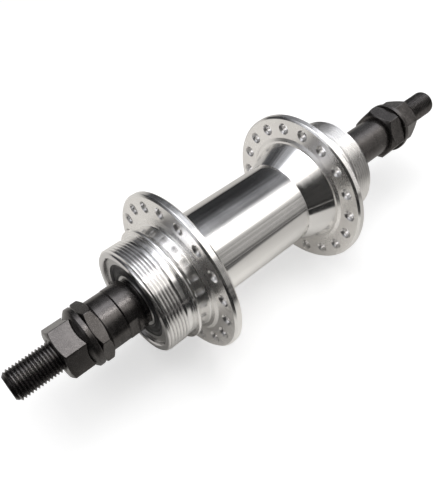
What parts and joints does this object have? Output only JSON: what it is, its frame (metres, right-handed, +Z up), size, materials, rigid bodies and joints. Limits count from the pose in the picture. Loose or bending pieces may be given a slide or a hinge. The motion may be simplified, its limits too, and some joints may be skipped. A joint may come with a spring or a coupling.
{
  "type": "rear bicycle hub",
  "caption": "Double-threaded rear bicycle hub: polished shell with two drilled spoke flanges, a threaded boss at each end, and a solid nutted axle on sealed bearings.",
  "frame": {"origin": "the middle of the axle's length, on the axle's centreline", "axes": "+Y along the axle from the brake (left) end to the freewheel (right) end, +Z up, +X forwards with the hub in a bicycle's frame"},
  "size_m": [0.0544, 0.189, 0.0544],
  "materials": {
    "polished_aluminium": "mirror polished, satin on the flanges' faces",
    "black_steel": "black oxide, oiled",
    "bearing_steel": "ground",
    "cage_steel": "pressed sheet",
    "seal_rubber": "moulded"
  },
  "bodies": {
    "axle_set": {"axle": "black_steel", "left_bearing_inner_ring": "bearing_steel", "right_bearing_inner_ring": "bearing_steel", "left_cone": "black_steel", "right_cone": "black_steel", "left_spacer": "black_steel", "right_spacer": "black_steel", "left_locknut": "black_steel", "right_locknut": "black_steel"},
    "shell": {"hub_shell": "polished_aluminium", "left_bearing_outer_ring": "bearing_steel", "right_bearing_outer_ring": "bearing_steel", "left_bearing_outer_seal": "seal_rubber", "left_bearing_inner_seal": "seal_rubber", "right_bearing_outer_seal": "seal_rubber", "right_bearing_inner_seal": "seal_rubber"},
    "left_ball_set": {"left_bearing_balls": "bearing_steel", "left_bearing_cage": "cage_steel"},
    "right_ball_set": {"right_bearing_balls": "bearing_steel", "right_bearing_cage": "cage_steel"},
    "left_washer_body": {"left_washer": "black_steel"},
    "left_nut_body": {"left_axle_nut": "black_steel"},
    "right_washer_body": {"right_washer": "black_steel"},
    "right_nut_body": {"right_axle_nut": "black_steel"}
  },
  "joints": [
    {"name": "hub_spin", "type": "hinge", "parent": "axle_set", "child": "shell", "pos_m": [0, 0, 0], "axis": [0, 1, 0], "continuous": true},
    {"name": "left_cage_orbit", "type": "hinge", "parent": "axle_set", "child": "left_ball_set", "pos_m": [0, -0.049, 0], "axis": [0, 1, 0], "continuous": true},
    {"name": "right_cage_orbit", "type": "hinge", "parent": "axle_set", "child": "right_ball_set", "pos_m": [0, 0.0303, 0], "axis": [0, 1, 0], "continuous": true},
    {"name": "left_washer_slide", "type": "slide", "parent": "axle_set", "child": "left_washer_body", "axis": [0, -1, 0], "range_m": [0, 0.013]},
    {"name": "left_nut_turn", "type": "hinge", "parent": "left_washer_body", "child": "left_nut_body", "pos_m": [0, -0.0755, 0], "axis": [0, -1, 0], "range_deg": [0, 4780]},
    {"name": "right_washer_slide", "type": "slide", "parent": "axle_set", "child": "right_washer_body", "axis": [0, 1, 0], "range_m": [0, 0.016]},
    {"name": "right_nut_turn", "type": "hinge", "parent": "right_washer_body", "child": "right_nut_body", "pos_m": [0, 0.073, 0], "axis": [0, 1, 0], "range_deg": [0, 5890]}
  ],
  "couplings": [
    {"joint": "left_cage_orbit", "follows": "hub_spin", "ratio": 0.619},
    {"joint": "right_cage_orbit", "follows": "hub_spin", "ratio": 0.619},
    {"joint": "left_washer_slide", "follows": "left_nut_turn", "m_per_rad": 0.00015549},
    {"joint": "right_washer_slide", "follows": "right_nut_turn", "m_per_rad": 0.00015549}
  ]
}
